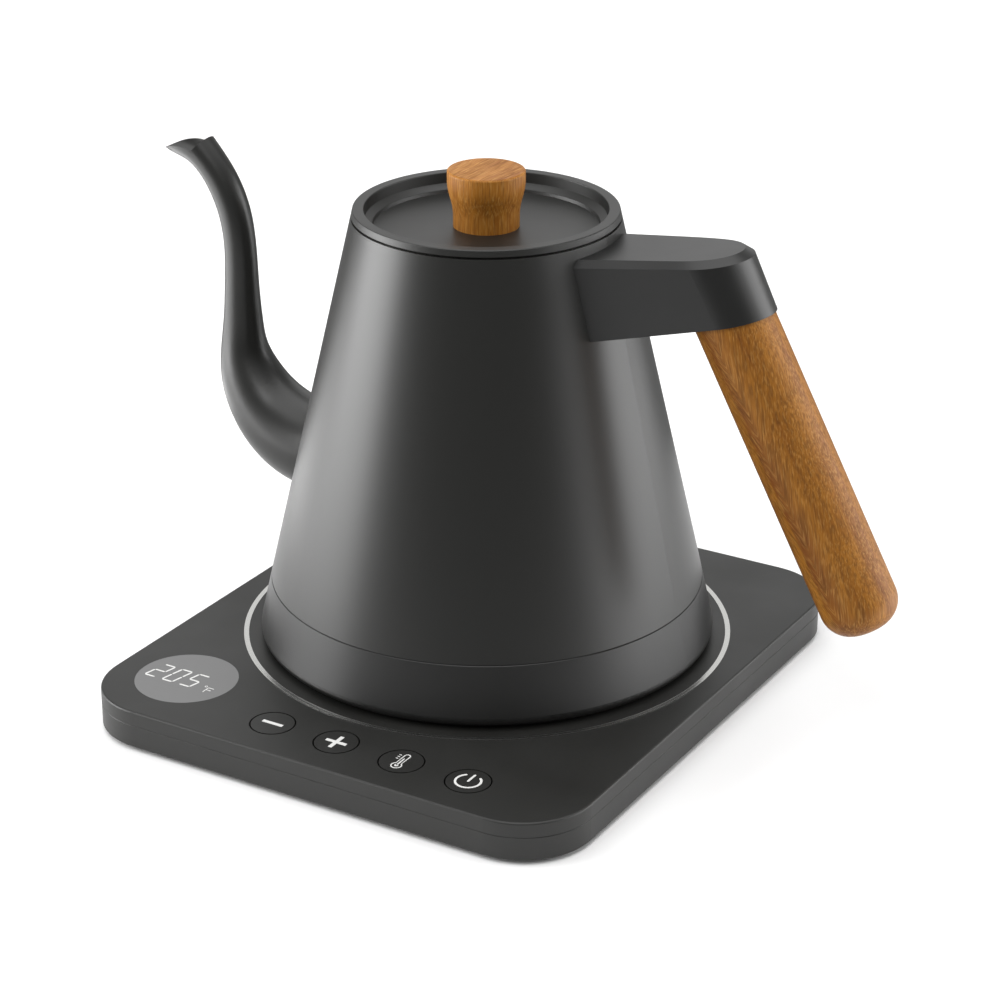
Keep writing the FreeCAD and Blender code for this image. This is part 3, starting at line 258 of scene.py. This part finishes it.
def segment(letter, middle):
    """One bar of a seven-bar figure: a to f clockwise from the top, g in the middle. The place across
    grows with the height, by the figure's slant."""
    w, h = FIGURE_WIDTH / 2, FIGURE_HEIGHT / 2
    ends = {"a": ((-w, h), (w, h)), "b": ((w, h), (w, 0)), "c": ((w, 0), (w, -h)),
            "d": ((-w, -h), (w, -h)), "e": ((-w, 0), (-w, -h)), "f": ((-w, h), (-w, 0)),
            "g": ((-w, 0), (w, 0))}[letter]
    start, end = np.array(ends)
    step = (end - start) / np.linalg.norm(end - start) * SEGMENT_GAP
    bar = np.array([start + step, end - step])
    bar[:, 0] += bar[:, 1] * FIGURE_SLANT + middle
    return stroke(bar, SEGMENT_WIDTH, "point")


lens_low, lens_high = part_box("display_lens")
lens_middle = Vector(((lens_low.x + lens_high.x) / 2, (lens_low.y + lens_high.y) / 2, lens_high.z))
figures = [segment(letter, MIDDLE_FIGURE_X + FIGURE_PITCH * (i - 1))
           for i, digit in enumerate((2, 0, 5)) for letter in FIGURES[digit]]
mark("display_figures", figures, lens_middle, lit_white, "base")

# The unit, right of the figures: a letter of a stem and two arms, and a small ring before it.
STEM_X, ARM_Y, LOWER_ARM_Y, STEM_FOOT_Y = 10.7, -1.9, -3.45, -5.4
ARM_END_X, LOWER_ARM_START_X, LOWER_ARM_END_X = 13.0, 10.8, 12.7
ARM_WIDTH, STEM_WIDTH = 0.36, 0.32
DEGREE_PLACE, DEGREE_RADIUS, DEGREE_WIDTH = (9.5, -1.5), 0.42, 0.25
unit = [stroke([(STEM_X, ARM_Y), (ARM_END_X, ARM_Y)], ARM_WIDTH),
        stroke([(LOWER_ARM_START_X, LOWER_ARM_Y), (LOWER_ARM_END_X, LOWER_ARM_Y)], ARM_WIDTH),
        stroke([(STEM_X, ARM_Y), (STEM_X, STEM_FOOT_Y)], STEM_WIDTH),
        stroke(arc(DEGREE_PLACE, DEGREE_RADIUS, 0, 342, 20), DEGREE_WIDTH, closed=True)]
mark("display_unit", unit, lens_middle, lit_white, "base")

# Buttons: four round caps of the same grey ABS, each held below the cover by its flange in a clear
# gap and pad printed with a white icon.

# Pad print looks flat white. Its grain is drawn coarser than it is.
white_ink = grained("white_pad_print", "#d2d2d0", 0.55, 0.4, 0.004, mottle=0.02)
button_names = ["button_minus", "button_plus", "button_preset", "button_power"]
# The caps look like the housing, but a shade darker, and stand out only by the gap round them.
button_abs = grained("moulded_grey_abs_button", "#161614", 0.46, 0.5, 0.02)
wear(button_names, button_abs)

BAR_LENGTH, BAR_WIDTH = 8.0, 1.45
across_bar = stroke([(-BAR_LENGTH / 2, 0), (BAR_LENGTH / 2, 0)], BAR_WIDTH, "square")
upper_bar = stroke([(0, BAR_WIDTH / 2), (0, BAR_LENGTH / 2)], BAR_WIDTH, "square")
lower_bar = stroke([(0, -BAR_LENGTH / 2), (0, -BAR_WIDTH / 2)], BAR_WIDTH, "square")

TUBE_HALF, BULB_RADIUS, BULB_Y, TUBE_TOP = 1.0, 1.75, -3.1, 3.8
GLASS_WIDTH, COLUMN_WIDTH, COLUMN_TOP = 0.4, 0.5, 2.0
FILL_RADIUS, FILL_WIDTH = 0.36, 0.7
TICK_LEFT, TICK_RIGHT, TICK_WIDTH, TICK_HEIGHTS = -2.9, -1.9, 0.34, (1.1, 2.3, 3.5)
neck = np.degrees(np.arcsin(TUBE_HALF / BULB_RADIUS))
glass_line = np.vstack([arc((0, TUBE_TOP), TUBE_HALF, 0, 180, 16),
                        arc((0, BULB_Y), BULB_RADIUS, 90 + neck, 450 - neck, 40)])
thermometer = [stroke(glass_line, GLASS_WIDTH, closed=True),
               stroke([(0, BULB_Y), (0, COLUMN_TOP)], COLUMN_WIDTH),
               stroke(arc((0, BULB_Y), FILL_RADIUS, 0, 345, 24), FILL_WIDTH, closed=True)]
thermometer += [stroke([(TICK_LEFT, y), (TICK_RIGHT, y)], TICK_WIDTH) for y in TICK_HEIGHTS]

POWER_RADIUS, POWER_WIDTH, POWER_TOP, POWER_FOOT = 4.25, 0.8, 4.7, -0.4
power = [stroke(arc((0, 0), POWER_RADIUS, 124, 416, 60), POWER_WIDTH),
         stroke([(0, POWER_TOP), (0, POWER_FOOT)], POWER_WIDTH)]
icons = {"button_minus": [across_bar], "button_plus": [across_bar, upper_bar, lower_bar],
         "button_preset": thermometer, "button_power": power}
for name, strokes in icons.items():
    low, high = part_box(name)
    cap_middle = Vector(((low.x + high.x) / 2, (low.y + high.y) / 2, high.z))
    mark(name.replace("button", "icon"), strokes, cap_middle, white_ink, name)

# Kettle floor and heating: a brushed stainless floor with a probe through it, an aluminium spreader
# and a sheathed element brazed below, and the welded studs and bracket.


def brushed(name, colour, roughness, stretch, line_mm):
    """Brushed metal: a noise drawn out along one axis, with lines line_mm apart across it."""
    scratch_mm, spread = 0.004, 0.25
    material, tree = new_material(name)
    place = add(tree, "TexCoord", {}).outputs["Object"]
    drawn = add(tree, "Mapping", {"Vector": place, "Scale": stretch})
    lines = add(tree, "TexNoise", {"Vector": drawn.outputs["Vector"], "Scale": 1 / (line_mm * MM),
                                   "Detail": 3.0})
    gloss = add(tree, "MapRange", {
        "Value": lines.outputs["Fac"], "From Min": NOISE_LOW, "From Max": NOISE_HIGH,
        "To Min": roughness * (1 - spread), "To Max": roughness * (1 + spread)})
    bump = add(tree, "Bump", {"Height": lines.outputs["Fac"], "Distance": scratch_mm * MM,
                              "Strength": SCRATCH_STRENGTH})
    shader = add(tree, "BsdfPrincipled", {
        "Base Color": srgb(colour), "Metallic": 1.0, "Roughness": gloss.outputs["Result"],
        "Normal": bump.outputs["Normal"]})
    add(tree, "OutputMaterial", {"Surface": shader.outputs["BSDF"]})
    return material


# Brushed steel looks grey, with straight lines that blur what it mirrors. Brushing leaves lines near
# 0.1 mm; they are drawn at 0.5 mm so that they show.
stainless = brushed("brushed_stainless_steel", STEEL_COLOUR, 0.3, (0.04, 1, 1), 0.5)
wear(["heater_plate", "temperature_probe", "plate_studs", "handle_bracket", "grip_stud",
      "heating_element"], stainless)
# Pressed aluminium looks paler and duller than the steel.
wear(["heat_diffuser"], brushed("pressed_aluminium", "#c4c4c4", 0.4, (1, 0.1, 1), 0.8))

# Kettle body and spout: pressed and welded stainless steel, powder coated satin black outside, which
# gives a very fine orange peel. The inside of the body is left as bare brushed steel.

# Satin coat looks nearly black, with broad soft bands of light. Its peel is 0.9 mm from dent to dent.
COAT_COLOUR, COAT_ROUGHNESS, COAT_PEEL, COAT_DEPTH = "#161614", 0.37, 0.9, 0.012
powder_coat = grained("satin_black_powder_coat", COAT_COLOUR, COAT_ROUGHNESS, COAT_PEEL, COAT_DEPTH,
                      uneven=0.03)
wear(["gooseneck_spout"], powder_coat)

FLOAT_A, FLOAT_B, FLOAT_OUT = 2, 3, 0


def coated_outside(name, foot, foot_radius, fall):
    """Powder coat where the distance from the kettle's axis is past the middle of the conical wall,
    and brushed steel inside it. The wall's radius falls with height above the foot."""
    half_wall_mm, line_mm, steel_roughness = 0.4, 0.6, 0.3
    material, tree = new_material(name)
    place = add(tree, "TexCoord", {}).outputs["Object"]
    local = add(tree, "VectorMath", {0: place, 1: foot}, operation="SUBTRACT")
    across = add(tree, "VectorMath", {0: local.outputs[0], 1: FLAT}, operation="MULTIPLY")
    radius = add(tree, "VectorMath", {0: across.outputs[0]}, operation="LENGTH")
    height = add(tree, "SeparateXYZ", {"Vector": local.outputs[0]})
    wall = add(tree, "Math", {0: height.outputs["Z"], 1: fall, 2: radius.outputs["Value"]},
               operation="MULTIPLY_ADD")
    outside = add(tree, "Math", {0: wall.outputs[0], 1: foot_radius - half_wall_mm * MM},
                  operation="GREATER_THAN").outputs[0]
    peel = add(tree, "TexNoise", {"Vector": place, "Scale": 1 / (COAT_PEEL * MM), "Detail": 2.0})
    drawn = add(tree, "Mapping", {"Vector": place, "Scale": (1, 1, 0.04)})
    lines = add(tree, "TexNoise", {"Vector": drawn.outputs["Vector"], "Scale": 1 / (line_mm * MM),
                                   "Detail": 3.0})
    texture = add(tree, "Mix", {"Factor": outside, FLOAT_A: lines.outputs["Fac"],
                                FLOAT_B: peel.outputs["Fac"]})
    colour = add(tree, "Mix", {"Factor": outside, COLOUR_A: srgb(STEEL_COLOUR),
                               COLOUR_B: srgb(COAT_COLOUR)}, data_type="RGBA")
    metal = add(tree, "Math", {0: 1.0, 1: outside}, operation="SUBTRACT")
    gloss = add(tree, "Mix", {"Factor": outside, FLOAT_A: steel_roughness, FLOAT_B: COAT_ROUGHNESS})
    bump = add(tree, "Bump", {"Height": texture.outputs[FLOAT_OUT], "Distance": COAT_DEPTH * MM,
                              "Strength": BUMP_STRENGTH})
    shader = add(tree, "BsdfPrincipled", {
        "Base Color": colour.outputs[COLOUR_OUT], "Metallic": metal.outputs[0],
        "Roughness": gloss.outputs[FLOAT_OUT], "Normal": bump.outputs["Normal"]})
    add(tree, "OutputMaterial", {"Surface": shader.outputs["BSDF"]})
    return material


# The cone's sizes in millimetres, from the table up to the rim, as the part's source has them.
FOOT_RADIUS, RIM_RADIUS, KETTLE_HEIGHT = 81.6, 46.0, 153.0
body_low, body_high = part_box("kettle_body")
foot_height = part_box("kettle_skirt")[0].z
foot_middle = Vector(((body_low.x + body_high.x) / 2, (body_low.y + body_high.y) / 2, foot_height))
wear(["kettle_body"], coated_outside("coated_steel_body", foot_middle, FOOT_RADIUS * MM,
                                     (FOOT_RADIUS - RIM_RADIUS) / KETTLE_HEIGHT))

# Skirt and handle arm: black glass-filled nylon mouldings. The skirt is screwed to studs below the
# floor, and the arm to the bracket on the body.

# This nylon looks like the coat, but a touch darker. Its grain is drawn coarser than it is.
skirt_nylon = grained("satin_black_nylon", "#0f0f0e", 0.38, 0.6, 0.014, uneven=0.03)
wear(["kettle_skirt", "handle_arm"], skirt_nylon)

# Grip and lid knob: turned hardwood, sanded and oiled. The grip sits on a stud in the arm, the knob on
# a screw through the lid.

VECTOR_A, VECTOR_B, VECTOR_OUT = 4, 5, 1


def oiled_wood(name, shade, lean, axis_point, turn, top_turn=None):
    """Wood whose grain runs along Z after its axis is brought to the origin and turned upright. The
    interlocked grain leans one way on each side of the middle plane: the place across is folded there.
    Streaks are a noise drawn out along the grain; dark pore lines and pale flecks are drawn out along
    the lean. On a face that looks up, the grain may be turned another way, as on end grain."""
    sway_mm, push_mm, streak_mm, patch_mm = 30, 4, 5, 14
    pore_mm, fleck_mm, pore_depth_mm = 0.6, 0.4, 0.1
    facing_up, patch_weight = 0.75, 0.4
    dark, mid, light, pore_shade, fleck_shade = (srgb(text) for text in shade)
    material, tree = new_material(name)
    place = add(tree, "TexCoord", {}).outputs["Object"]
    local = add(tree, "VectorMath", {0: place, 1: axis_point}, operation="SUBTRACT").outputs[0]
    along = add(tree, "Mapping", {"Vector": local, "Rotation": turn}).outputs["Vector"]
    if top_turn:
        over = add(tree, "Mapping", {"Vector": local, "Rotation": top_turn}).outputs["Vector"]
        facing = add(tree, "SeparateXYZ", {"Vector": add(tree, "NewGeometry", {}).outputs["Normal"]})
        on_top = add(tree, "Math", {0: facing.outputs["Z"], 1: facing_up}, operation="GREATER_THAN")
        along = add(tree, "Mix", {"Factor": on_top.outputs[0], VECTOR_A: along, VECTOR_B: over},
                    data_type="VECTOR").outputs[VECTOR_OUT]
    sway = add(tree, "TexNoise", {"Vector": along, "Scale": 1 / (sway_mm * MM), "Detail": 2.0})
    push = add(tree, "VectorMath", {0: sway.outputs["Color"], 1: (push_mm * MM, push_mm * MM, 0)},
               operation="MULTIPLY")
    swayed = add(tree, "VectorMath", {0: along, 1: push.outputs[0]}, operation="ADD").outputs[0]
    wide = add(tree, "Mapping", {"Vector": swayed, "Scale": (1, 1, 0.03)})
    streak = add(tree, "TexNoise", {"Vector": wide.outputs["Vector"], "Scale": 1 / (streak_mm * MM),
                                    "Detail": 4.0})
    patch = add(tree, "TexNoise", {"Vector": along, "Scale": 1 / (patch_mm * MM), "Detail": 3.0})
    folded = add(tree, "VectorMath", {0: swayed}, operation="ABSOLUTE").outputs[0]
    leaning = add(tree, "Mapping", {"Vector": folded, "Rotation": (0, lean, 0)}).outputs["Vector"]
    thin = add(tree, "Mapping", {"Vector": leaning, "Scale": (1, 1, 0.04)})
    pores = add(tree, "TexNoise", {"Vector": thin.outputs["Vector"], "Scale": 1 / (pore_mm * MM),
                                   "Detail": 2.0})
    short = add(tree, "Mapping", {"Vector": leaning, "Scale": (1, 1, 0.06)})
    fleck = add(tree, "TexNoise", {"Vector": short.outputs["Vector"], "Scale": 1 / (fleck_mm * MM),
                                   "Detail": 2.0})
    blend = add(tree, "Math", {0: patch.outputs["Fac"], 1: patch_weight, 2: streak.outputs["Fac"]},
                operation="MULTIPLY_ADD")
    ramp = add(tree, "ValToRGB", {"Fac": blend.outputs[0]})
    stops = ramp.color_ramp.elements
    stops[0].position, stops[0].color = 0.5, dark
    stops[1].position, stops[1].color = 0.9, light
    stops.new(0.66).color = mid
    pore_share = add(tree, "MapRange", {"Value": pores.outputs["Fac"], "From Min": 0.46,
                                        "From Max": 0.62, "To Min": 0.0, "To Max": 0.5})
    lined = add(tree, "Mix", {"Factor": pore_share.outputs["Result"], COLOUR_A: ramp.outputs["Color"],
                              COLOUR_B: pore_shade}, data_type="RGBA")
    fleck_share = add(tree, "MapRange", {"Value": fleck.outputs["Fac"], "From Min": 0.5,
                                         "From Max": 0.68, "To Min": 0.0, "To Max": 0.4})
    flecked = add(tree, "Mix", {"Factor": fleck_share.outputs["Result"],
                                COLOUR_A: lined.outputs[COLOUR_OUT], COLOUR_B: fleck_shade},
                  data_type="RGBA")
    gloss = add(tree, "MapRange", {"Value": pores.outputs["Fac"], "From Min": 0.4, "From Max": 0.7,
                                   "To Min": 0.42, "To Max": 0.6})
    bump = add(tree, "Bump", {"Height": pores.outputs["Fac"], "Distance": pore_depth_mm * MM,
                              "Strength": BUMP_STRENGTH}, invert=True)
    shader = add(tree, "BsdfPrincipled", {
        "Base Color": flecked.outputs[COLOUR_OUT], "Roughness": gloss.outputs["Result"],
        "Normal": bump.outputs["Normal"], "Specular IOR Level": 0.2})
    add(tree, "OutputMaterial", {"Surface": shader.outputs["BSDF"]})
    return material


# Oiled hardwood looks orange-brown and warm, with darker streaks along the grain and fine open pores.
# Pores are near 0.2 mm wide; they and the flecks are drawn two to three times as coarse, to show.
# The grip's lines lean and meet in a feather, while the knob's stand upright and cross its top aslant.
GRIP_TILT = np.radians(28.4)
GRIP_TOP = (82.57 * MM, 10.9 * MM, 150.2 * MM)
GRIP_LEAN = np.radians(20)
GRIP_SHADES = ("#6c3c10", "#7e4e16", "#925f1e", "#4e2d0b", "#b08343")
wear(["handle_grip"], oiled_wood("oiled_hardwood_grip", GRIP_SHADES, GRIP_LEAN, GRIP_TOP,
                                 (0, GRIP_TILT, 0)))
KNOB_SHADES = ("#8a521a", "#996220", "#a86e2a", "#663b12", "#c99854")
KNOB_TOP_TURN = (np.radians(90), 0, np.radians(35))
wear(["lid_knob"], oiled_wood("oiled_hardwood_knob", KNOB_SHADES, 0.0, kettle_axis, (0, 0, 0),
                              KNOB_TOP_TURN))

# Lid: pressed steel with a satin black coat, a bare steel liner below, held by the knob's screw and
# washer, and a grey silicone seal in a groove round the plug.

# The lid's coat looks a little greyer than the body's.
wear(["lid_shell"], grained("satin_black_lid_coat", "#181816", 0.42, COAT_PEEL, COAT_DEPTH, uneven=0.03))
# The turned liner looks grey, with fine rings that are drawn at 0.5 mm so that they show.
wear(["lid_liner", "knob_washer"],
     turned_steel("turned_stainless_liner", STEEL_COLOUR, 0.3, kettle_axis, 0.5))
# Silicone looks pale grey and dull. Its grain is drawn coarser than it is.
wear(["lid_gasket"], grained("grey_silicone", "#8d8d8b", 0.6, 0.6, 0.01))

# Studio: a plain white floor, a wide soft light above, soft lights and low cards at both sides, a weak
# one at the right front, one behind and a small fill. The front stays dark, as the coat mirrors it.
# The camera stands where the photograph was taken from.

CAMERA_PLACE, CAMERA_AIM = Vector((0.462094, -0.776380, 0.471001)), Vector((0.000606, 0.0, 0.070746))
FOCAL_LENGTH, SENSOR_WIDTH, VIEW_END = 102.49, 36.0, 50.0
to_camera = Vector((CAMERA_PLACE.x - CAMERA_AIM.x, CAMERA_PLACE.y - CAMERA_AIM.y, 0)).normalized()
to_right = Vector((-to_camera.y, to_camera.x, 0))
FLOOR_FRONT, FLOOR_BACK, FLOOR_SIDE = 0.34, 4.0, 2.5
MAT_BACK, MAT_SIDE = 0.24, 0.3
# Floor paint looks plain white and dull, so that the object's soft shadow is all that shows on it.
floor_paint, floor_tree = new_material("white_studio_floor")
floor_shader = add(floor_tree, "BsdfPrincipled", {"Base Color": srgb("#f4f4f4"), "Roughness": 0.9,
                                                  "Specular IOR Level": 0.1})
add(floor_tree, "OutputMaterial", {"Surface": floor_shader.outputs["BSDF"]})


def floor_piece(name, *fields):
    """Flat floor made of fields, each from one distance behind to one in front, and from left to right."""
    corners = [to_camera * a + to_right * b for back, front, left, right in fields
               for a, b in ((back, left), (front, left), (front, right), (back, right))]
    mesh = bpy.data.meshes.new(name)
    mesh.from_pydata(corners, [], [tuple(range(4 * i, 4 * i + 4)) for i in range(len(fields))])
    mesh.materials.append(floor_paint)
    piece = bpy.data.objects.new(name, mesh)
    bpy.context.scene.collection.objects.link(piece)
    return piece


# Only the floor near the object is mirrored in it, and the floor in front lights nothing.
floor_piece("floor_near", (-MAT_BACK, FLOOR_FRONT, -MAT_SIDE, MAT_SIDE))
floor_far = floor_piece("floor_far", (-FLOOR_BACK, -MAT_BACK, -FLOOR_SIDE, FLOOR_SIDE),
                        (-MAT_BACK, FLOOR_FRONT, -FLOOR_SIDE, -MAT_SIDE),
                        (-MAT_BACK, FLOOR_FRONT, MAT_SIDE, FLOOR_SIDE))
floor_far.visible_glossy = False
floor_front = floor_piece("floor_front", (FLOOR_FRONT, FLOOR_BACK, -FLOOR_SIDE, FLOOR_SIDE))
floor_front.visible_glossy = floor_front.visible_diffuse = False


def soft_light(name, place, aim, width, height, watts):
    """A rectangular lamp at a place, facing its aim, with its sides in metres."""
    lamp = bpy.data.lights.new(name, "AREA")
    lamp.shape = "RECTANGLE"
    lamp.size, lamp.size_y, lamp.energy = width, height, watts
    holder = bpy.data.objects.new(name, lamp)
    holder.location = place
    holder.rotation_euler = (Vector(aim) - Vector(place)).to_track_quat("-Z", "Y").to_euler()
    bpy.context.scene.collection.objects.link(holder)


def around(angle, distance, height):
    """A place at an angle from the camera's side, in degrees to the right, seen from the object."""
    turn = np.radians(angle)
    level = to_camera * (distance * np.cos(turn)) + to_right * (distance * np.sin(turn))
    return level + Vector((0, 0, height))


KETTLE_MIDDLE = (0, 0, 0.1)
soft_light("top_light", (0, 0.1, 1.9), (0, 0, 0), 2.4, 2.4, 38)
soft_light("left_light", around(-93, 1.3, 0.35), KETTLE_MIDDLE, 0.95, 0.8, 23)
soft_light("left_card", around(-95, 0.8, 0.004), around(-95, 0.8, 1.0), 0.9, 0.9, 8)
soft_light("right_light", around(94, 1.4, 0.35), KETTLE_MIDDLE, 1.0, 0.8, 12)
soft_light("right_front_light", around(66, 1.4, 0.35), KETTLE_MIDDLE, 0.8, 0.8, 3)
soft_light("right_card", around(92, 0.8, 0.004), around(92, 0.8, 1.0), 0.9, 0.9, 8)
soft_light("back_light", around(180, 2.2, 1.0), KETTLE_MIDDLE, 2.4, 1.5, 8)
soft_light("fill_light", around(-15, 1.2, 1.5), KETTLE_MIDDLE, 0.6, 0.6, 7)

AIR_STRENGTH = 0.28
world = bpy.data.worlds.new("studio_air")
world.use_nodes = True
world.node_tree.nodes["Background"].inputs["Color"].default_value = srgb("#ffffff")
world.node_tree.nodes["Background"].inputs["Strength"].default_value = AIR_STRENGTH
bpy.context.scene.world = world
bpy.context.scene.view_settings.view_transform = "Standard"

camera_data = bpy.data.cameras.new("camera")
camera_data.lens, camera_data.sensor_width = FOCAL_LENGTH, SENSOR_WIDTH
camera_data.clip_end = VIEW_END
camera = bpy.data.objects.new("camera", camera_data)
camera.location = CAMERA_PLACE
camera.rotation_euler = (CAMERA_AIM - CAMERA_PLACE).to_track_quat("-Z", "Y").to_euler()
bpy.context.scene.collection.objects.link(camera)
bpy.context.scene.camera = camera
